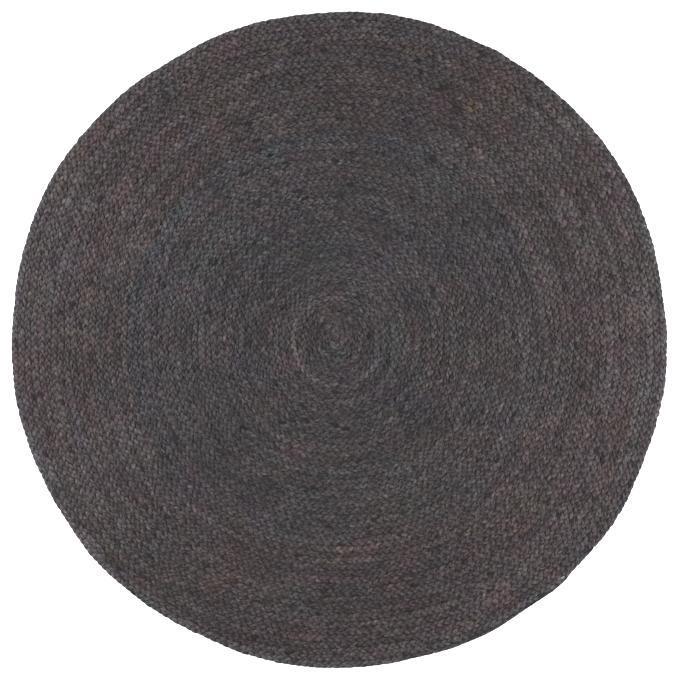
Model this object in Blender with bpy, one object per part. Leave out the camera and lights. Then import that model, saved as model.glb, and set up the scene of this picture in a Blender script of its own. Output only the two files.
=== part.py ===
"""A round rug of braided jute: one flat braid, coiled from its heart to its rim and sewn edge to edge.

The rug lies on the ground with its flat underside at z = 0. Metres, +Z up, the origin under its middle.
Its upper face has one rib for every row of the coil. The rim is uneven, as hand sewing leaves it, and
the braid narrows to a tail that ends in a small step of the rim.
"""

import math

import bmesh
import bpy
from mathutils.geometry import delaunay_2d_cdt

for old in list(bpy.data.objects):
    bpy.data.objects.remove(old)

# The whole rug
RUG_RADIUS = 0.750
RUG_THICKNESS = 0.009  # from the ground to the crown of a row
GROOVE_DEPTH = 0.0032  # from the crown of a row to the seam beside it

# The coil. Places across it are counted in rows from the heart.
ROW_COUNT = 54  # rows from the heart to the rim, just past the braid's end
HEART_ROW_WIDTH = 0.0122  # tight turns at the heart draw the braid in
RIM_ROW_WIDTH = 0.0153
HEART_PLACE = (-0.009, -0.001)  # the coil's heart is a little off the middle of the rug
HEART_GAP = 0.4  # the innermost seam starts this many rows from the heart

# The braid's end at the rim
END_ANGLE = math.radians(-46.0)  # counter-clockwise from +X
TAIL_ANGLE = math.radians(50.0)  # the stretch of rim over which the braid narrows
END_WIDTH = 0.2  # rows left at the cut tip
NARROWEST_CROWN = 0.55  # a tail narrower than this has no crown of its own, in rows
LEAST_GAP = 0.35  # a seam stops this many rows short of the rim's shoulder

# How closely straight edges follow the curves
CHORD_HEIGHT = 0.00085
RIM_STEPS = 120
LEAST_STEPS_PER_TURN = 8
TIP_STEP = math.radians(0.5)  # the rim's step at the braid's end takes this much of the rim
MERGE_DISTANCE = 1e-6

# The rounded side of the outermost row
RIM_PROFILE = (
    # (distance in from the outline, height above the ground), from the shoulder to the sole
    (0.0032, 0.0076),
    (0.0000, 0.0045),
    (0.0009, 0.0016),
    (0.0030, 0.0000),
)

# The rim's bulges and flats
BULGES = (
    # (degrees counter-clockwise from +X, height outwards, spread in degrees)
    (8.0, -0.0036, 10.0),
    (34.0, 0.0032, 9.0),
    (80.0, 0.0016, 5.0),
    (97.0, -0.0022, 8.0),
    (121.0, -0.0044, 7.0),
    (152.0, 0.0038, 13.0),
    (191.0, 0.0024, 6.0),
    (208.0, -0.0012, 6.0),
    (223.0, 0.0017, 8.0),
    (245.0, -0.0034, 7.0),
    (264.0, 0.0026, 5.0),
    (282.0, -0.0030, 6.0),
    (304.0, -0.0034, 4.0),
    (325.0, 0.0034, 8.0),
    (340.0, -0.0024, 6.0),
    (355.0, 0.0018, 5.0),
)

JUTE_COLOUR = (0.078, 0.066, 0.069, 1.0)  # charcoal with a brown cast
JUTE_ROUGHNESS = 0.92
JUTE_METALLIC = 0.0

FULL_TURN = 2.0 * math.pi


def past_end(angle):
    """The angle of a ray counted from the braid's end, from 0 to a full turn."""
    return (angle - END_ANGLE) % FULL_TURN


def outline_radius(angle):
    """Distance from the middle to the rim, with its bulges, but without the step at the braid's end."""
    radius = RUG_RADIUS
    for middle, height, spread in BULGES:
        away = (math.degrees(angle) - middle + 180.0) % 360.0 - 180.0
        radius += height * math.exp(-((away / spread) ** 2))
    return radius


def even_radius(rows):
    """Radius of the coil after this many rows, where nothing disturbs it."""
    growth = (RIM_ROW_WIDTH - HEART_ROW_WIDTH) / (2.0 * ROW_COUNT)
    return HEART_ROW_WIDTH * rows + growth * rows**2


def last_row_share(past, end_width):
    """Part of a row that the last turn adds outside the full rows, on a ray this far past the braid's end."""
    tail = max(0.0, (past - (FULL_TURN - TAIL_ANGLE)) / TAIL_ANGLE)
    share = past / FULL_TURN
    eased = tail * tail * (3.0 - 2.0 * tail)
    return share + (end_width - share) * eased


def rows_to_rim(angle):
    return ROW_COUNT + last_row_share(past_end(angle), END_WIDTH)


def coil_point(angle, rows, inset=0.0):
    """Plan position on a ray, this many rows from the heart and then this far back towards it."""
    smooth_rows = ROW_COUNT + last_row_share(past_end(angle), 0.0)
    scale = outline_radius(angle) / even_radius(smooth_rows)
    radius = scale * even_radius(rows) - inset
    drift = 1.0 - min(1.0, radius / RUG_RADIUS)
    x = radius * math.cos(angle) + drift * HEART_PLACE[0]
    y = radius * math.sin(angle) + drift * HEART_PLACE[1]
    return x, y


def crown_rows(turns, angle):
    """Rows from the heart to the crown of the row whose inner seam is this many turns along the coil."""
    width = min(1.0, rows_to_rim(angle) - turns)
    return turns + 0.5 * width, width


def coil_line(first_turn, line_at):
    """Points along one line of the coil, closer together in degrees where its radius is large."""
    points = []
    turns = first_turn
    while turns < ROW_COUNT:
        angle = END_ANGLE + FULL_TURN * turns
        rows, kept = line_at(turns, angle)
        if not kept:
            break
        points.append(coil_point(angle, rows))
        radius = max(even_radius(rows), 0.5 * HEART_ROW_WIDTH)
        steps_per_turn = FULL_TURN / math.sqrt(8.0 * CHORD_HEIGHT / radius)
        turns += 1.0 / max(LEAST_STEPS_PER_TURN, steps_per_turn)
    return points


def shoulder_rows(angle):
    """Rows from the heart to the rim's shoulder."""
    return rows_to_rim(angle) - RIM_PROFILE[0][0] / RIM_ROW_WIDTH


def seam_line():
    """The seam between neighbouring rows, a spiral that runs out at the braid's end."""

    def at(turns, angle):
        return turns, turns < shoulder_rows(angle) - LEAST_GAP

    return coil_line(HEART_GAP, at)


def crown_line():
    """The crown of the row, from the braid's start at the heart to its tail."""

    def at(turns, angle):
        rows, width = crown_rows(turns, angle)
        return max(0.0, rows), turns < ROW_COUNT - 1.5 or width > NARROWEST_CROWN

    return coil_line(-0.5, at)


def rim_angles():
    """Angles of the rim's corners, counter-clockwise, with one on each side of the step at the braid's end."""
    pitch = (FULL_TURN - TIP_STEP) / (RIM_STEPS - 1)
    return [END_ANGLE + step * pitch for step in range(RIM_STEPS)]


def rim_loop(angles, inset):
    return [coil_point(angle, rows_to_rim(angle), inset) for angle in angles]


def add_top(mesh, angles):
    """The ribbed upper face, out to the rim's shoulder. Returns the shoulder's corners in order."""
    shoulder_inset, shoulder_height = RIM_PROFILE[0]
    shoulder = rim_loop(angles, shoulder_inset)
    crown = crown_line()
    seam = seam_line()
    plan = shoulder + crown + seam
    heights = [shoulder_height] * len(shoulder)
    heights += [RUG_THICKNESS] * len(crown)
    heights += [RUG_THICKNESS - GROOVE_DEPTH] * len(seam)

    # Every line of the coil stays an edge, so that ribs and seams run true.
    lines = []
    for start, line in ((len(shoulder), crown), (len(shoulder) + len(crown), seam)):
        lines += [(start + i, start + i + 1) for i in range(len(line) - 1)]
    outline = [list(range(len(shoulder)))]
    points, _, faces, sources, _, _ = delaunay_2d_cdt(plan, lines, outline, 1, MERGE_DISTANCE)

    corners = [
        mesh.verts.new((point[0], point[1], heights[source[0]]))
        for point, source in zip(points, sources)
    ]
    for face in faces:
        mesh.faces.new([corners[index] for index in face])
    place_of = {source: index for index, group in enumerate(sources) for source in group}
    return [corners[place_of[index]] for index in range(len(shoulder))]


def add_side(mesh, angles, upper):
    """The rounded side below the shoulder. Returns the corners of the sole."""
    for inset, height in RIM_PROFILE[1:]:
        lower = [mesh.verts.new((x, y, height)) for x, y in rim_loop(angles, inset)]
        for i in range(len(upper)):
            mesh.faces.new((upper[i - 1], lower[i - 1], lower[i], upper[i]))
        upper = lower
    return upper


def centre_on_origin(mesh):
    """Puts the middle of the rug's box, seen from above, over the origin."""
    for axis in (0, 1):
        places = [corner.co[axis] for corner in mesh.verts]
        middle = 0.5 * (min(places) + max(places))
        for corner in mesh.verts:
            corner.co[axis] -= middle


def jute_material():
    material = bpy.data.materials.new("charcoal_jute")
    material.use_nodes = True
    shader = material.node_tree.nodes["Principled BSDF"]
    shader.inputs["Base Color"].default_value = JUTE_COLOUR
    shader.inputs["Roughness"].default_value = JUTE_ROUGHNESS
    shader.inputs["Metallic"].default_value = JUTE_METALLIC
    return material


def braided_rug():
    mesh = bmesh.new()
    angles = rim_angles()
    shoulder = add_top(mesh, angles)
    sole = add_side(mesh, angles, shoulder)
    mesh.faces.new(list(reversed(sole)))
    centre_on_origin(mesh)
    bmesh.ops.recalc_face_normals(mesh, faces=mesh.faces)
    data = bpy.data.meshes.new("braided_rug")
    mesh.to_mesh(data)
    mesh.free()
    data.materials.append(jute_material())
    rug = bpy.data.objects.new("braided_rug", data)
    bpy.context.collection.objects.link(rug)
    return rug


braided_rug()
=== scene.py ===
"""The looks of a round rug of braided jute: one flat three-strand braid, coiled from its heart to its rim."""

import math

import bmesh
import bpy
import numpy as np
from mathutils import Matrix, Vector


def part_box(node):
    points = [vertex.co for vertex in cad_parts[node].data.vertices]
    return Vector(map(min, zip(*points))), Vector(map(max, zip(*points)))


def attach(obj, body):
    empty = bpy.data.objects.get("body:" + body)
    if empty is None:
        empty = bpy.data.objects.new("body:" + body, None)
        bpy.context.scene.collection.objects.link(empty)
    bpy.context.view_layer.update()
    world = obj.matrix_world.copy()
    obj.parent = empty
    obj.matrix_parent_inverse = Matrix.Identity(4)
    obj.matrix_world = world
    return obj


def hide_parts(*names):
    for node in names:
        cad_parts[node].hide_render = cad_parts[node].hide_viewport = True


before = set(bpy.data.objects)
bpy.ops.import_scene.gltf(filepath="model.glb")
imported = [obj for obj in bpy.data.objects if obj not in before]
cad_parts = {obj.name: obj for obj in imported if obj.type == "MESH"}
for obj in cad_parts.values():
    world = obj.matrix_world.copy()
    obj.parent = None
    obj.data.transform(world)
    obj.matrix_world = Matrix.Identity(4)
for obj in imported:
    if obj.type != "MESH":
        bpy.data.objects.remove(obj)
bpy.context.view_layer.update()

# ---------------------------------------------------------------------------------------------------------
# The braid's three strands. Each is a soft bundle of dyed jute, plaited over one neighbour and under the
# other into one long flat braid. The maker coils it counter-clockwise from the heart and sews row to row,
# and near its end the braid narrows to a tail that runs out on the rim.

ROWS = 54  # from the heart to the rim, just past the braid's end
HEART_ROW_WIDTH = 0.0122
RIM_ROW_WIDTH = 0.0153
HEART_PLACE = (-0.009, -0.001)  # the coil's heart is a little off the middle of the rug
END_ANGLE = math.radians(-46.0)  # counter-clockwise from +X
TAIL_ANGLE = math.radians(50.0)  # the stretch of rim over which the braid narrows
END_WIDTH = 0.2  # rows left at the cut tip
FULL_TURN = 2.0 * math.pi
COURSE_STEPS = 420  # of the coil's middle line, in each turn

# Hand sewing. Each change along the braid is (metres from knot to knot, spread at a knot).
SWAY = 0.0011  # of the rows over the floor plan, in metres
STILL_ROWS = 0.4  # at the rim, which don't sway
SWAY_ROWS = 2.0  # inside those, over which the sway grows to its full size
SWAY_WAVES = (0.05, 0.16, 14)  # the shortest, the longest and how many
SEAM_SHIFT = (0.07, 0.0016)
RIM_SHIFTS = ((0.06, 0.0005), (0.03, 0.0003))
MOST_WIDER = 0.3  # of a row, where its two seams stray apart
SEAM_DEPTH = 0.46  # of half the thickness, where the thread pulls one row down on the next
SEAM_DEPTH_CHANGES = ((0.3, 0.4), (0.05, 0.25))
SEAM_REACH = 0.7  # of half a row, within which its seam pulls a strand down
MOST_PULLED = 1.3  # of that pull, where a strand reaches past its seam
SLANTED = 0.87  # of a strand's half width, seen across the row

# Hand plaiting. A spread is from lump to lump, and a rough one from ring to ring.
STITCH_PITCH = 0.0156  # from one lump of an edge to the next
PITCH_CHANGES = ((0.7, 0.03), (0.1, 0.05))
SWING = 0.345  # how far a strand's middle swings to each side, in row widths
STITCH = (
    # (degrees into the crossing, half width in row widths, half thickness, middle above the braid's middle)
    (-12.0, 0.260, 0.0021, -0.0008),
    (12.0, 0.297, 0.0023, 0.0009),
    (34.0, 0.316, 0.0024, 0.0018),
    (56.0, 0.314, 0.0025, 0.0019),
    (78.0, 0.288, 0.0022, 0.0009),
    (102.0, 0.272, 0.0021, -0.0005),
    (135.0, 0.270, 0.0024, -0.0017),
)
CROWN = 0.14  # of a full swing, from the start of a crossing to its lump's crown
SECTION = ((0.55, 0.84), (-0.55, 0.84), (-0.97, -0.25), (0.97, -0.25))  # a strand's corners, across and up
PLACE_SPREAD = 0.13  # of a stitch, forwards and back
LEAST_STEP = 0.05  # of a stitch, from ring to ring at the braid's start
SIDE_SPREAD, SIDE_ROUGH = 0.035, 0.007  # of a row, to the sides
WIDTH_SPREAD, WIDTH_ROUGH = 0.13, 0.03
THICKNESS_SPREAD = 0.08
LEAST_STOUT = 0.4  # of its thickness, left where the tail runs out
LIFT_SPREAD = 0.12  # of how far a lump stands up or dips
HEIGHT_SPREAD, HEIGHT_ROUGH = 0.00035, 0.00008
ROLL_SPREAD, ROLL_ROUGH = 0.22, 0.03  # radians
# How much paler a lump's crown is: partly wear, partly painted highlight.
CROWN_WEAR_AND_LIGHT_SPREAD = 0.16  # of how much paler a lump's crown is
RIM_LOOP = 0.0005  # how far a strand's loop on the rim stands out past its row
OUTER_LOOP = 0.45  # of its full swing, past which a strand on the rim lies in such a loop
MOST_DRAWN_OUT = 0.002  # by which such a loop is drawn out to the rim
# A lump that lies deep is also darkened in colour, a painted shade.
DARK_LUMP = -2.2  # of a normal spread, below which a lump lies deep and dark
DARK_LUMP_SUNK = 0.0006
CELL_LENGTH, CELL_HEIGHT = 0.0058, 0.022  # a strand's length from ring to ring, and its girth

low_corner, high_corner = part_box("braided_rug")
thickness = high_corner.z - low_corner.z
rug_radius = 0.25 * (high_corner.x - low_corner.x + high_corner.y - low_corner.y)
luck = np.random.default_rng(20)


def even_radius(rows):
    """Radius of the coil after this many rows, where nothing disturbs it."""
    growth = (RIM_ROW_WIDTH - HEART_ROW_WIDTH) / (2.0 * ROWS)
    return HEART_ROW_WIDTH * rows + growth * rows**2


def rows_to_rim(angle):
    """Rows from the heart to the rim on a ray, fewer where the tail has narrowed."""
    past = np.mod(angle - END_ANGLE, FULL_TURN)
    tail = np.clip((past - (FULL_TURN - TAIL_ANGLE)) / TAIL_ANGLE, 0.0, 1.0)
    share = past / FULL_TURN
    return ROWS + share + (END_WIDTH - share) * tail * tail * (3.0 - 2.0 * tail)


def rim_stretch(angle):
    """How much wider than an even coil the rug is on a ray, from the rim of the frame's solid."""
    corners = np.array([corner.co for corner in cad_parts["braided_rug"].data.vertices])
    from_outline = np.abs(corners[:, 2] - 0.5 * thickness)
    rim = corners[from_outline < 0.02 * thickness]
    rim_angle = np.arctan2(rim[:, 1], rim[:, 0])
    past_the_step = 0.002  # the corner at the step of the rim belongs to the tail
    stretch = np.hypot(rim[:, 0], rim[:, 1]) / even_radius(rows_to_rim(rim_angle + past_the_step))
    order = np.argsort(rim_angle)
    return np.interp(angle, rim_angle[order], stretch[order], period=FULL_TURN)


def plane_waves(place, size, shortest, longest, count):
    """A smooth random value over the floor plan, a sum of waves in all directions."""
    value = np.zeros(len(place))
    for _ in range(count):
        heading = luck.uniform(0.0, FULL_TURN)
        cycles = (place @ (math.cos(heading), math.sin(heading))) / luck.uniform(shortest, longest)
        value += np.sin(FULL_TURN * (cycles + luck.uniform()))
    return value * size * math.sqrt(2.0 / count)


def uneven(along, *changes):
    """A smooth random value along the braid, with knots at the spacing of each change."""
    value = np.zeros(len(along))
    for spacing, size in changes:
        knots = luck.normal(0.0, size, int(along.max() / spacing) + 3)
        value += np.interp(along / spacing + 0.5, np.arange(len(knots)), knots)
    return value


turns = np.linspace(-0.5, ROWS, int((ROWS + 0.5) * COURSE_STEPS))
ray = END_ANGLE + FULL_TURN * turns
rows_wide = np.minimum(1.0, rows_to_rim(ray - 1e-9) - turns)  # less than one on the tail
radius = rim_stretch(ray) * even_radius(np.maximum(turns + 0.5 * rows_wide, 0.0))
course = np.stack([radius * np.cos(ray), radius * np.sin(ray)], axis=1)
course += (1.0 - np.minimum(radius / rug_radius, 1.0))[:, None] * np.array(HEART_PLACE)
rows_left = rows_to_rim(ray) - turns - 0.5 * rows_wide  # from the row's middle line to the rim
sway = SWAY * np.clip((rows_left - STILL_ROWS) / SWAY_ROWS, 0.0, 1.0)
course[:, 0] += plane_waves(course, 1.0, *SWAY_WAVES) * sway
course[:, 1] += plane_waves(course, 1.0, *SWAY_WAVES) * sway
along_ray = np.cumsum(radius * np.gradient(ray))
seam_shift = uneven(along_ray, SEAM_SHIFT)  # of the seam inside each row
rim_shift = uneven(along_ray, *RIM_SHIFTS)
next_shift = np.where(turns + 1.0 < ROWS, np.interp(turns + 1.0, turns, seam_shift), rim_shift)
course += 0.5 * (seam_shift + next_shift)[:, None] * np.stack([np.cos(ray), np.sin(ray)], axis=1)

course_step = np.linalg.norm(np.diff(course, axis=0), axis=1)
course_length = np.concatenate([[0.0], np.cumsum(course_step)])
course_width = rim_stretch(ray) * (even_radius(turns + rows_wide) - even_radius(turns))
course_width *= 1.0 + np.clip((next_shift - seam_shift) / HEART_ROW_WIDTH, -MOST_WIDER, MOST_WIDER)
seam_depth = SEAM_DEPTH * (1.0 + uneven(course_length, *SEAM_DEPTH_CHANGES))
pitch = STITCH_PITCH * (1.0 + uneven(course_length, *PITCH_CHANGES))
stitches = np.concatenate([[0.0], np.cumsum(course_step / (0.5 * (pitch[1:] + pitch[:-1])))])


def strand_rings(number):
    """The rings of a strand from the braid's start to its end, as strand_piece takes them."""
    # A strand swings across the braid and back in three stitches, a third of that behind its neighbour. In
    # each half swing it crosses over one neighbour and then dips under the other.
    lag = number / 3.0
    first = math.ceil(2.0 * (stitches[0] / 3.0 + lag))
    last = math.floor(2.0 * (stitches[-1] / 3.0 + lag)) - 1
    crossings = np.arange(first, last)
    degrees, wide, thick, lift = np.tile(np.array(STITCH).T, len(crossings))
    swing = np.repeat(0.5 * crossings, len(STITCH)) + degrees / 360.0

    def by_stitch(size):
        """One draw for each crossing, the same on all its rings."""
        return np.repeat(luck.normal(0.0, size, len(crossings)), len(STITCH))

    def drift(size):
        """One draw for each crossing, blended from one to the next."""
        return np.interp(swing, 0.5 * crossings + CROWN, luck.normal(0.0, size, len(crossings)))

    def rough(size):
        """One draw for each ring."""
        return luck.normal(0.0, size, len(swing))

    def on_course(place):
        """Points on the braid's middle line, this many stitches from its start."""
        return np.stack([np.interp(place, stitches, course[:, axis]) for axis in (0, 1)], axis=1)

    at = np.maximum(3.0 * (swing - lag) + drift(PLACE_SPREAD), LEAST_STEP * np.arange(len(swing)))
    length = np.interp(at, stitches, course_length)
    middle = on_course(at)
    a_little = 0.1  # of a stitch
    ahead = on_course(at + a_little)
    behind = on_course(at - a_little)
    heading = (ahead - behind) / np.linalg.norm(ahead - behind, axis=1)[:, None]
    outwards = np.stack([heading[:, 1], -heading[:, 0]], axis=1)
    row = np.interp(at, stitches, course_width)
    slim = np.minimum(row / HEART_ROW_WIDTH, 1.0)
    stout = LEAST_STOUT + (1.0 - LEAST_STOUT) * slim
    sideways = SWING * np.sin(FULL_TURN * swing) + drift(SIDE_SPREAD) + rough(SIDE_ROUGH)
    sideways = row * sideways
    wide = wide * row * (1.0 + by_stitch(WIDTH_SPREAD) + rough(WIDTH_ROUGH))
    on_the_rim = np.clip(1.0 - np.interp(at, stitches, rows_left), 0.0, 1.0)
    short_of_rim = 0.5 * row + RIM_LOOP - sideways - wide
    most_out = np.where(np.sin(FULL_TURN * swing) > OUTER_LOOP, MOST_DRAWN_OUT, 0.0)
    sideways += on_the_rim * np.minimum(short_of_rim, most_out)
    thick = thick * stout * (1.0 + by_stitch(THICKNESS_SPREAD))
    height = stout * (0.5 * thickness + lift * (1.0 + by_stitch(LIFT_SPREAD)))
    height += slim * (rough(HEIGHT_ROUGH) + drift(HEIGHT_SPREAD))
    lump = by_stitch(1.0)
    height -= DARK_LUMP_SUNK * (lump < DARK_LUMP)
    roll = drift(ROLL_SPREAD) + rough(ROLL_ROUGH)
    centre = np.column_stack([middle + sideways[:, None] * outwards, height])
    worn_and_lit = 1.0 + by_stitch(CROWN_WEAR_AND_LIGHT_SPREAD)
    seam = np.column_stack([sideways, 0.5 * row, np.interp(at, stitches, seam_depth)])
    return centre, wide, thick, roll, seam, length, strand_dye_and_shade(at, length, lump, by_stitch), worn_and_lit


# The dye. Lightness, redness and greenness are counted in the steps below.
REDDER = np.array((0.050, -0.0170, -0.037))  # what one step adds to red, green and blue
GREENER = np.array((-0.005, 0.024, -0.019))
GOLDEN = np.array((0.75, 0.50, -0.30))
DYE_LOTS = (
    # (rows from the heart, lightness, redness), where one lot of dyed yarn gives way to another
    (0.0, 0.04, -0.3),
    (9.0, 0.06, -0.5),
    (17.0, -0.04, -0.5),
    (35.7, 0.00, -0.5),
    (35.9, 0.00, 1.2),
    (37.0, 0.00, 0.7),
    (48.0, 0.01, 0.8),
    (52.6, 0.05, 0.4),
    (53.1, 0.17, -0.7),
    (54.0, 0.20, -1.1),
)
BLUE_SIDE = math.radians(137.0)  # the middle of the rug's bluer side, counter-clockwise from +X
BLUE_EVEN, BLUE_SWELL, BLUE_LEAST = 0.5, 1.2, -0.6  # bluer all round, more on that side, and the least
BLUE_SHARE = ((8.0, 0.0), (18.0, 1.0), (35.7, 1.0), (35.9, 0.5))  # (rows from the heart, how much bluer)
BLUER_RED = 0.5  # steps less red there
BLUE_LOT = (33.2, 35.7)  # rows from the heart
BLUE_LOT_RED, BLUE_LOT_GREEN = 0.8, 0.7  # steps less red and less green

# Patches over the floor plan are (size, the shortest, the longest and how many waves), in metres.
LIGHT_PATCHES, LIGHT_CHANGES = ((0.05, 0.1, 0.5, 16),), ((0.35, 0.07), (0.12, 0.055), (0.04, 0.05))
RED_PATCHES, RED_CHANGES = ((0.4, 0.1, 0.5, 16), (0.53, 0.04, 0.12, 24)), ((0.5, 0.35), (0.12, 0.35))
GREEN_PATCHES, GREEN_CHANGES = ((0.45, 0.08, 0.4, 16), (0.75, 0.04, 0.12, 24)), ((0.4, 0.4), (0.1, 0.35))
DARK_STRETCHES = (0.05, 1.0)
DARK_STRETCH_FROM = 1.2  # of that spread, past which a stretch is darker
DARK_STRETCH_DEPTH = 0.2
DARK_SPOTS = 90  # short stretches of a row that took up more dye
DARK_SPOT_REACH = 0.007
DARK_SPOT_DEPTH = 0.3
GOLD_SPOT = (0.303, 0.534)  # a thumb's width of braid that has kept a golden cast
BESIDE_GOLD = (0.272, 0.531)  # and a dark stretch next to it
BESIDE_GOLD_DEPTH = 0.7
GOLD_REACH = 0.012

# Each strand's own dye, and the painted shade on its sunk lumps
STRAND_LIGHT, STRAND_RED, STRAND_GREEN = (0.1, 0.05), (0.15, 0.1), (0.15, 0.18)
LUMP_RED = 0.04
LUMP_LIGHT = 0.14
LUMP_SKEW = 0.033  # lumps stray further to the dark than to the light
SUNK_LUMP_PAINTED_SHADE = 0.45


def patchy(patches, changes):
    """Patches over the floor plan and changes along the braid, at each place of the coil."""
    value = np.zeros(len(course))
    for patch in patches:
        value += plane_waves(course, *patch)
    return value + uneven(course_length, *changes)


def spot(place, reach):
    """How near the coil is to a place on the rug, from 0 to 1."""
    return np.exp(-np.sum((course - place) ** 2, axis=1) / reach**2)


def dye_of_braid():
    """Lightness, redness, greenness and golden cast along the braid, shared by its three strands."""
    lots = np.array(DYE_LOTS)
    light, red = (np.interp(turns, lots[:, 0], lots[:, column]) for column in (1, 2))
    side = np.clip(BLUE_EVEN + BLUE_SWELL * np.cos(ray - BLUE_SIDE), BLUE_LEAST, 1.0)
    bluer = side * np.interp(turns, *zip(*BLUE_SHARE))
    blue_lot = np.maximum(side, 0.0) * ((turns > BLUE_LOT[0]) & (turns < BLUE_LOT[1]))
    red -= BLUER_RED * bluer + BLUE_LOT_RED * blue_lot
    light += patchy(LIGHT_PATCHES, LIGHT_CHANGES)
    dark_stretch = np.maximum(uneven(course_length, DARK_STRETCHES) - DARK_STRETCH_FROM, 0.0)
    light -= DARK_STRETCH_DEPTH * dark_stretch
    spot_luck = np.random.default_rng(5)
    dark_places = spot_luck.uniform(-rug_radius, rug_radius, (DARK_SPOTS, 2))
    for place, depth in zip(dark_places, spot_luck.exponential(DARK_SPOT_DEPTH, DARK_SPOTS)):
        light -= depth * spot(place, DARK_SPOT_REACH)
    light -= BESIDE_GOLD_DEPTH * spot(BESIDE_GOLD, GOLD_REACH)
    gold = spot(GOLD_SPOT, GOLD_REACH)
    red += patchy(RED_PATCHES, RED_CHANGES)
    green = patchy(GREEN_PATCHES, GREEN_CHANGES) - BLUE_LOT_GREEN * blue_lot
    return light, red, green, gold


braid_dye = dye_of_braid()


def strand_dye_and_shade(at, length, lump, by_stitch):
    """The dye's share of red, green and blue at each ring of a strand, darkened as painted shade on sunk
    lumps.
    """
    light, red, green, gold = (np.interp(at, stitches, values)[:, None] for values in braid_dye)
    light = light[:, 0] + uneven(length, STRAND_LIGHT)
    # Sunk lumps are darkened: a painted shade in their pits.
    light += LUMP_LIGHT * lump - LUMP_SKEW * lump**2 - SUNK_LUMP_PAINTED_SHADE * (lump < DARK_LUMP)
    red += (uneven(length, STRAND_RED) + by_stitch(LUMP_RED))[:, None]
    green += uneven(length, STRAND_GREEN)[:, None]
    return np.exp(light)[:, None] * (1.0 + red * REDDER + green * GREENER + gold * GOLDEN)


def bake_cells(count, cell_length, cell_height):
    """Edges of the map's cells, one for each stretch between rings, in strips stacked up the map."""
    cells = count + 2 * (len(SECTION) - 2)
    strips = max(1, round(math.sqrt(cells * cell_length / cell_height)))
    in_strip = math.ceil(cells / strips)
    strip, place = np.divmod(np.arange(cells), in_strip)
    margin = 0.06
    return place / in_strip, (place + 1) / in_strip, (strip + margin) / strips, (strip + 1 - margin) / strips


def strand_piece(name, number, rings, stretch, material):
    """A closed tube through a stretch of a strand's rings."""
    centre, wide, thick, roll, seam, length, dye, worn_and_lit = (values[stretch] for values in rings)
    along = np.gradient(centre, axis=0)
    along /= np.linalg.norm(along, axis=1)[:, None]
    across = np.stack([along[:, 1], -along[:, 0], np.zeros(len(along))], axis=1)
    across /= np.linalg.norm(across, axis=1)[:, None]
    upwards = np.cross(across, along)
    turn = roll[:, None]  # the section leans with the strand's roll
    across, upwards = (
        across * np.cos(turn) + upwards * np.sin(turn),
        upwards * np.cos(turn) - across * np.sin(turn),
    )

    corner_across, corner_up = np.array(SECTION).T
    sideways = wide[:, None] * corner_across
    up = thick[:, None] * corner_up
    corners = centre[:, None] + sideways[..., None] * across[:, None] + up[..., None] * upwards[:, None]

    # Near a seam the thread pulls the strand to the braid's middle height.
    from_seam = 1.0 - np.abs(seam[:, :1] + SLANTED * sideways) / seam[:, 1:2]
    pulled_in = seam[:, 2:] * np.clip(1.0 - from_seam / SEAM_REACH, 0.0, MOST_PULLED) ** 2
    corners[..., 2] = 0.5 * thickness + (corners[..., 2] - 0.5 * thickness) * (1.0 - pulled_in)
    corners[..., 2] = np.maximum(corners[..., 2], 0.0)

    index = np.arange(corners.shape[0] * len(SECTION)).reshape(-1, len(SECTION))
    beside = np.roll(index, -1, axis=1)
    sides = np.stack([index[:-1], index[1:], beside[1:], beside[:-1]], axis=2).reshape(-1, 4)
    caps = [index[0][[0, k + 1, k + 2]] for k in range(len(SECTION) - 2)]
    caps += [index[-1][[k + 2, k + 1, 0]] for k in range(len(SECTION) - 2)]
    mesh = bpy.data.meshes.new(name)
    mesh.from_pydata(corners.reshape(-1, 3), [], sides.tolist() + [cap.tolist() for cap in caps])
    mesh.shade_smooth()

    # The material reads a point's place along, across and up its strand, its place in the section, how far it
    # stands out from the braid's middle height, which sets wear with painted highlight and painted shade, and
    # its dye with painted shade.
    lie = np.stack(np.broadcast_arrays(length[:, None], sideways + 0.5 * number, up), axis=2)
    # Paler where a point stands out and darker where it sinks: partly wear, partly painted highlight and
    # painted shade.
    stands_out = np.abs(corners[..., 2] / (0.5 * thickness) - 1.0) * worn_and_lit[:, None]
    section = np.stack(np.broadcast_arrays(corner_across, corner_up, stands_out), axis=2)
    dyed_and_shaded = np.repeat(dye[:, None], len(SECTION), axis=1)
    for attribute, values in (("lie", lie), ("section", section), ("dye", dyed_and_shaded)):
        layer = mesh.attributes.new(attribute, "FLOAT_VECTOR", "POINT")
        layer.data.foreach_set("vector", values.astype(np.float32).ravel())

    # The map for baking has a cell for each stretch between two rings and for each face of the two ends.
    count = len(index) - 1
    left, right, bottom, top = bake_cells(count, CELL_LENGTH, CELL_HEIGHT)
    side = np.arange(len(SECTION)) / len(SECTION)
    low = bottom[:count, None] + (top - bottom)[:count, None] * side
    high = low + (top - bottom)[:count, None] / len(SECTION)
    x0, x1 = (np.broadcast_to(edge[:count, None], low.shape) for edge in (left, right))
    strips = np.stack([x0, low, x1, low, x1, high, x0, high], axis=2).reshape(-1)
    ends = np.stack([left, bottom, right, bottom, right, top], axis=1)[count:].reshape(-1)
    bake_map = mesh.uv_layers.new(name="OFBake")
    bake_map.data.foreach_set("uv", np.concatenate([strips, ends]).astype(np.float32))

    mesh.materials.append(material)
    piece = bpy.data.objects.new(name, mesh)
    bpy.context.scene.collection.objects.link(piece)
    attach(piece, "root")
    return piece


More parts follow.
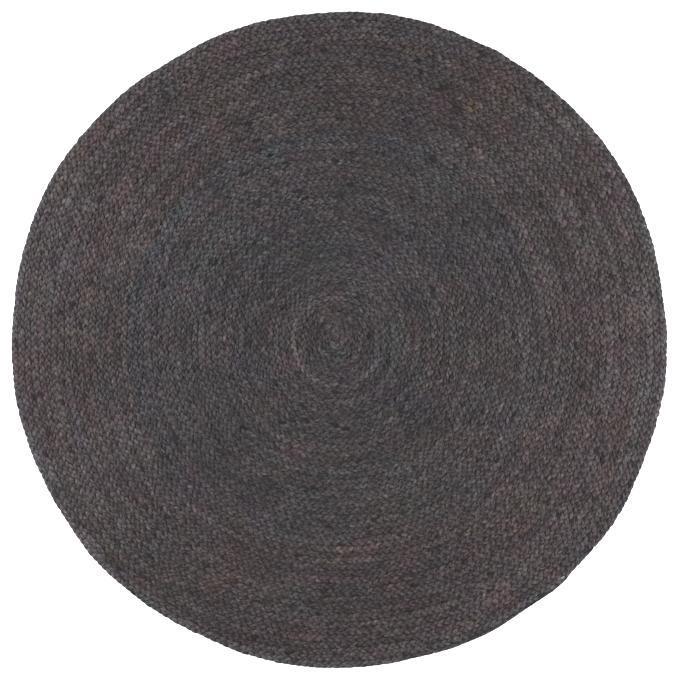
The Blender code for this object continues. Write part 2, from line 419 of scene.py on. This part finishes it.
class Dye:
    """A socket of a material. Sums, differences and products of sockets and numbers add Math nodes."""

    def __init__(self, tree, socket=None):
        self.tree = tree
        self.socket = socket

    def node(self, kind, settings=None, sockets=None, out=0):
        """Adds any node: its settings first, such as an operation or a ramp's stops, then its sockets."""
        made = self.tree.nodes.new(kind)
        for name, value in (settings or {}).items():
            if name == "stops":
                while len(made.color_ramp.elements) < len(value):
                    made.color_ramp.elements.new(1.0)
                for stop, (place, colour) in zip(made.color_ramp.elements, value):
                    stop.position = place
                    stop.color = (*colour, 1.0)
            else:
                setattr(made, name, value)
        for name, value in (sockets or {}).items():
            if isinstance(value, Dye):
                self.tree.links.new(value.socket, made.inputs[name])
            else:
                made.inputs[name].default_value = value
        return Dye(self.tree, made.outputs[out])

    def maths(self, operation, *values):
        return self.node("ShaderNodeMath", {"operation": operation}, dict(enumerate(values)))

    def scaled(self, factors):
        return self.node("ShaderNodeVectorMath", {"operation": "MULTIPLY"}, {0: self, 1: factors})

    def part(self, axis):
        return self.node("ShaderNodeSeparateXYZ", None, {"Vector": self}, out=axis)

    def noise(self, detail=2.0, roughness=0.5):
        sockets = {"Vector": self, "Scale": 1.0, "Detail": detail, "Roughness": roughness}
        return self.node("ShaderNodeTexNoise", None, sockets)

    def to(self, shader, name):
        self.tree.links.new(self.socket, shader.inputs[name])

    def __add__(self, other):
        return self.maths("ADD", self, other)

    __radd__ = __add__

    def __sub__(self, other):
        return self.maths("SUBTRACT", self, other)

    def __rsub__(self, other):
        return self.maths("SUBTRACT", other, self)

    def __mul__(self, other):
        return self.maths("MULTIPLY", self, other)

    __rmul__ = __mul__


def new_material(name):
    material = bpy.data.materials.new(name)
    material.use_nodes = True
    return material, Dye(material.node_tree), material.node_tree.nodes["Principled BSDF"]


# The jute's own pattern, in noise to the metre along, across and up a strand
TWIST = 800.0  # radians in each metre of a strand
WAVER, WAVER_GRAIN = 9.0, (70.0, 60.0, 0.0)  # radians by which the twist wavers
PLIES = 3.0  # in a strand
SLIVER_GRAIN = (150.0, 270.0, 270.0)
FINE_ALONG, FINE_ACROSS = 120.0, 300.0  # the fibres' grain
FINE_ROUND = 1.3  # and for each radian that the plies wind
# The ply tone is painted shade in the grooves between plies. The crown tone is painted highlight where a
# strand stands out and painted shade where it sinks, partly also wear.
PLY_GROOVE_SHADE, SLIVER_TONE, FINE_TONE, CROWN_PAINTED_LIGHT = 0.18, 0.8, 0.46, 0.36
MIDDLE_TONE, MIDDLE_CROWN = 0.52, 0.75  # the tone of a strand that stands out that far
JUTE_TONES = (
    # (tone, (red, green, blue))
    (0.0, (0.0070, 0.0056, 0.0059)),
    (0.5, (0.0420, 0.0341, 0.0360)),
    (1.0, (0.0985, 0.0853, 0.0886)),
)
PLY_RELIEF, SLIVER_RELIEF, FINE_RELIEF = 0.85, 0.4, 0.6
RELIEF_DEPTH = 0.0013


def charcoal_jute():
    """Twisted plies of jute, dyed unevenly, with painted shade low between the strands and a paler crown
    where they stand out, partly wear and partly painted highlight.
    """
    material, start, shader = new_material("charcoal_jute")
    lie = start.node("ShaderNodeAttribute", {"attribute_name": "lie"}, out="Vector")
    section = start.node("ShaderNodeAttribute", {"attribute_name": "section"}, out="Vector")
    dye = start.node("ShaderNodeAttribute", {"attribute_name": "dye"}, out="Vector")

    # Plies wind round the strand, slivers lie along it, and fibres follow the plies.
    twist = lie.part(0) * TWIST + lie.scaled(WAVER_GRAIN).noise() * WAVER
    around = section.maths("ARCTAN2", section.part(0), section.part(1))
    laid = around * PLIES + twist
    ply = section.maths("COSINE", laid) * 0.5 + 0.5
    sliver = lie.scaled(SLIVER_GRAIN).noise(3.0, 0.5)
    fine = {"X": lie.part(0) * FINE_ALONG, "Y": laid * FINE_ROUND, "Z": lie.part(1) * FINE_ACROSS}
    fibre = start.node("ShaderNodeCombineXYZ", None, fine).noise(3.0, 0.6)

    # Painted shade darkens the grooves between plies, and slivers and fibres vary the tone at random with
    # their relief.
    # Where the strand stands out it is paler, partly wear and partly painted highlight, and where it sinks it
    # has painted shade.
    tone = (ply - 0.5) * PLY_GROOVE_SHADE + (sliver - 0.5) * SLIVER_TONE + (fibre - 0.5) * FINE_TONE
    tone = tone + (section.part(2) - MIDDLE_CROWN) * CROWN_PAINTED_LIGHT + MIDDLE_TONE
    jute = start.node("ShaderNodeValToRGB", {"stops": JUTE_TONES}, {"Fac": tone})
    jute.node("ShaderNodeVectorMath", {"operation": "MULTIPLY"}, {0: jute, 1: dye}).to(shader, "Base Color")
    height = ply * PLY_RELIEF + sliver * SLIVER_RELIEF + fibre * FINE_RELIEF
    relief = {"Height": height, "Distance": RELIEF_DEPTH, "Strength": 0.9}
    start.node("ShaderNodeBump", None, relief).to(shader, "Normal")
    shader.inputs["Roughness"].default_value = 0.8
    shader.inputs["Specular IOR Level"].default_value = 0.15
    shader.inputs["Sheen Weight"].default_value = 0.05
    return material


jute = charcoal_jute()
for number, name in enumerate(("first", "second", "third")):
    rings = strand_rings(number)
    half = len(rings[0]) // 2
    for part, stretch in (("inner", slice(0, half + 1)), ("outer", slice(half, None))):
        strand_piece(f"{name}_strand_{part}", number, rings, stretch, jute)

# ---------------------------------------------------------------------------------------------------------
# The cut tip of the tail. Two ends of jute stand out from the rim there, the inner one on top of its
# neighbour, and the cut has left that one pale. The outer one darkens towards its tip, a painted shade under
# the pale one.

TIP_RINGS = 16
MIDDLE_Y = 0.0008  # from the origin to the middle of the rug's outline
TIP_TAPER = 0.25  # degrees over which an end closes in
TIP_LEAST = 0.25  # of its section, left at the tip
START_SUNK, START_DEGREES = 0.005, 4.0  # an end rises out of its row over this stretch
CUT_DEGREES, CUT_EDGE = 0.75, 0.2  # from the colour of the cut to the tip, and its soft edge
FLATTENED = 0.9  # an end's thickness, of its width

for name, away, first, last, start_height, end_height, half_width, cut_paling_and_shade in (
    # metres from the middle, degrees counter-clockwise from +X, metres, and the colour's change at the cut:
    # pale on the inner end, painted shade on the outer
    ("outer_cut_end", 0.7524, -53.5, -46.15, 0.0030, 0.0042, 0.0029, (0.5, 0.5, 0.6)),
    ("inner_cut_end", 0.7480, -48.6, -46.45, 0.0040, 0.0082, 0.0024, (4.2, 5.0, 4.6)),
):
    degrees = np.linspace(first, last, TIP_RINGS)
    angle = np.radians(degrees)
    taper = np.sqrt(np.clip((last - degrees) / TIP_TAPER, TIP_LEAST, 1.0))
    height = np.linspace(start_height, end_height, TIP_RINGS)
    reach = away - START_SUNK * np.clip(1.0 - (degrees - first) / START_DEGREES, 0.0, 1.0)
    centre = np.column_stack([reach * np.cos(angle), reach * np.sin(angle) + MIDDLE_Y, height])
    at_the_cut = np.clip((degrees - last + CUT_DEGREES) / CUT_EDGE, 0.0, 1.0)
    dye = 1.0 + np.outer(at_the_cut, np.array(cut_paling_and_shade) - 1.0)
    still = np.zeros(TIP_RINGS)
    seam = np.column_stack([still, still + 1.0, still])
    wide = half_width * taper
    rings = (centre, wide, FLATTENED * wide, still, seam, away * angle, dye, still + 1.0)
    strand_piece(name, 0, rings, slice(None), jute)

# ---------------------------------------------------------------------------------------------------------
# The inside of the rows, where the strands pass under each other and the sewing thread holds row to row.
# Only specks of it show in the pits between the strands.

INSIDE_SHARE = 0.2  # of the rug's thickness
INSIDE_RADIUS = 0.994  # of the rug's radius
TANGLE = 700.0  # of the tangle's lumps in a metre

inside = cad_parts["braided_rug"].copy()
inside.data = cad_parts["braided_rug"].data.copy()
for key in list(inside.keys()):
    del inside[key]
inside.parent = None
inside.name = "rug_inside"
bpy.context.scene.collection.objects.link(inside)
work = bmesh.new()
work.from_mesh(inside.data)
bmesh.ops.remove_doubles(work, verts=work.verts, dist=1e-5)
bmesh.ops.translate(work, verts=work.verts, vec=(0, 0, -0.5 * thickness))
bmesh.ops.scale(work, verts=work.verts, vec=(INSIDE_RADIUS, INSIDE_RADIUS, INSIDE_SHARE))
bmesh.ops.translate(work, verts=work.verts, vec=(0, 0, 0.5 * thickness))
work.to_mesh(inside.data)
work.free()
material, start, shader = new_material("shaded_jute")
tangle = start.node("ShaderNodeTexCoord", out="Object").scaled((TANGLE,) * 3).noise(4.0, 0.6)
# Its jute is coloured far darker than the strands', a painted shade for the deep pits between them.
start.node(
    "ShaderNodeValToRGB",
    {"stops": ((0.3, (0.004, 0.003, 0.003)), (0.7, (0.017, 0.014, 0.015)))},
    {"Fac": tangle},
).to(shader, "Base Color")
start.node("ShaderNodeBump", None, {"Height": tangle, "Distance": 0.002}).to(shader, "Normal")
shader.inputs["Roughness"].default_value = 0.95
inside.data.materials.clear()
inside.data.materials.append(material)
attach(inside, "root")
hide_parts("braided_rug")

# ---------------------------------------------------------------------------------------------------------
# Loose fibres of jute. Handling draws them out of the strands, and they arch over the lumps that they grew
# from. Each is one stiff, slightly bent hair, thickest in its middle.

FIBRES = 6500
FIBRE_LENGTH = 0.011
FIBRE_LENGTHS = (0.5, 1.4)  # times that, the shortest and the longest
FIBRE_HALF_WIDTH = 0.00012
FIBRE_SPREAD = 0.3  # of a row, from the row's middle line
FIBRE_SLANT = 0.8  # radians, from the row's direction
FIBRE_BEND = 0.5
FIBRE_ROUGH = 0.0007
TIP_HEIGHT, MIDDLE_HEIGHT = 0.0072, 0.0095
BARE_RIM = 1.2  # rows at the rim that have none
FIBRE_ALONG = np.array((-0.5, -0.2, 0.2, 0.5))  # tip, two rings of three corners, tip

place = luck.uniform(0.5, np.interp(ROWS - BARE_RIM, turns, stitches), FIBRES)
foot = np.stack([np.interp(place, stitches, course[:, axis]) for axis in (0, 1)], axis=1)
foot += luck.normal(0.0, FIBRE_SPREAD * HEART_ROW_WIDTH, foot.shape)
heading = np.interp(place, stitches, ray) + 0.25 * FULL_TURN + luck.normal(0.0, FIBRE_SLANT, FIBRES)
forwards = np.stack([np.cos(heading), np.sin(heading), np.zeros(FIBRES)], axis=1)
aside = np.stack([forwards[:, 1], -forwards[:, 0], forwards[:, 2]], axis=1)
length = FIBRE_LENGTH * luck.uniform(*FIBRE_LENGTHS, FIBRES)
line = (length[:, None] * FIBRE_ALONG)[..., None] * forwards[:, None]
bend = length * luck.normal(0.0, FIBRE_BEND, FIBRES)
line += bend[:, None, None] * (FIBRE_ALONG**2)[:, None] * aside[:, None]
line[..., :2] += foot[:, None]
arch = np.where(np.abs(FIBRE_ALONG) < 0.3, MIDDLE_HEIGHT, TIP_HEIGHT)
line[..., 2] = arch + luck.normal(0.0, FIBRE_ROUGH, line.shape[:2])
around = FULL_TURN * (np.arange(3) / 3.0 + 0.25)
ring = np.cos(around)[:, None] * aside[:, None] + np.sin(around)[:, None] * np.array((0.0, 0.0, 1.0))
corners = np.concatenate([
    line[:, :1],
    line[:, 1:2] + FIBRE_HALF_WIDTH * ring,
    line[:, 2:3] + FIBRE_HALF_WIDTH * ring,
    line[:, 3:],
], axis=1)
faces = [(0, 1 + k, 1 + (k + 1) % 3) for k in range(3)] + [(7, 4 + (k + 1) % 3, 4 + k) for k in range(3)]
faces += [(1 + k, 4 + k, 4 + (k + 1) % 3) for k in range(3)]
faces += [(1 + k, 4 + (k + 1) % 3, 1 + (k + 1) % 3) for k in range(3)]
faces = (np.arange(FIBRES)[:, None, None] * 8 + np.array(faces)).reshape(-1, 3)
fibre_mesh = bpy.data.meshes.new("loose_fibres")
fibre_mesh.from_pydata(corners.reshape(-1, 3), [], faces.tolist())
fibre_mesh.shade_smooth()
fibres = bpy.data.objects.new("loose_fibres", fibre_mesh)
bpy.context.scene.collection.objects.link(fibres)
material, start, shader = new_material("loose_jute")
shader.inputs["Base Color"].default_value = (0.066, 0.056, 0.058, 1.0)
shader.inputs["Roughness"].default_value = 0.7
shader.inputs["Specular IOR Level"].default_value = 0.3
fibre_mesh.materials.append(material)
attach(fibres, "root")

# ---------------------------------------------------------------------------------------------------------
# The floor, the soft light from two sides and the camera straight above, which are not part of the rug.

FLOOR_HALF_WIDTH = 60.0
FLOOR_HEIGHT = -0.0002
FLOOR_SHADE = 0.88
FLOOR_GLOW = 0.6  # keeps the ground pale beyond the lamps' reach

floor_mesh = bpy.data.meshes.new("floor")
work = bmesh.new()
bmesh.ops.create_grid(work, x_segments=1, y_segments=1, size=FLOOR_HALF_WIDTH)
bmesh.ops.translate(work, verts=work.verts, vec=(0, 0, FLOOR_HEIGHT))
work.to_mesh(floor_mesh)
work.free()
floor = bpy.data.objects.new("floor", floor_mesh)
bpy.context.scene.collection.objects.link(floor)
material, start, shader = new_material("pale_floor")
shader.inputs["Base Color"].default_value = (FLOOR_SHADE, FLOOR_SHADE, FLOOR_SHADE, 1.0)
shader.inputs["Roughness"].default_value = 0.9
shader.inputs["Emission Color"].default_value = (1.0, 1.0, 1.0, 1.0)
shader.inputs["Emission Strength"].default_value = FLOOR_GLOW
floor_mesh.materials.append(material)

LIGHT_AXIS = -3.0  # degrees from +X
LIGHT_DISTANCE = 2.0
LIGHT_ELEVATION = 31.0
LAMP_WIDTH, LAMP_DEPTH = 1.8, 1.0
LAMP_WATTS = 71.0
STUDIO_GLOW = 0.46  # even light from all around

for name, azimuth in (("light_right", LIGHT_AXIS), ("light_left", LIGHT_AXIS + 180.0)):
    lamp_data = bpy.data.lights.new(name, "AREA")
    lamp_data.shape = "RECTANGLE"
    lamp_data.size = LAMP_WIDTH
    lamp_data.size_y = LAMP_DEPTH
    lamp_data.energy = LAMP_WATTS
    lamp = bpy.data.objects.new(name, lamp_data)
    bpy.context.scene.collection.objects.link(lamp)
    flat = LIGHT_DISTANCE * math.cos(math.radians(LIGHT_ELEVATION))
    lamp.location = (
        flat * math.cos(math.radians(azimuth)),
        flat * math.sin(math.radians(azimuth)),
        LIGHT_DISTANCE * math.sin(math.radians(LIGHT_ELEVATION)),
    )
    lamp.rotation_euler = (-lamp.location).to_track_quat("-Z", "Y").to_euler()

studio = bpy.data.worlds.new("studio")
studio.use_nodes = True
studio.node_tree.nodes["Background"].inputs["Color"].default_value = (1.0, 1.0, 1.0, 1.0)
studio.node_tree.nodes["Background"].inputs["Strength"].default_value = STUDIO_GLOW
bpy.context.scene.world = studio
bpy.context.scene.view_settings.view_transform = "Standard"

PICTURE = 680  # pixels each way
RUG_IN_PICTURE = 656.7  # pixels across
RUG_WIDTH = 1.5  # metres
pixel = RUG_WIDTH / RUG_IN_PICTURE
camera_data = bpy.data.cameras.new("camera")
camera_data.lens = 100.0
camera_data.sensor_width = 36.0
camera_data.clip_end = 50.0
camera = bpy.data.objects.new("camera", camera_data)
bpy.context.scene.collection.objects.link(camera)
above = PICTURE * pixel * camera_data.lens / camera_data.sensor_width
camera.location = (0.5 * pixel, 0.0, thickness + above)
bpy.context.scene.camera = camera
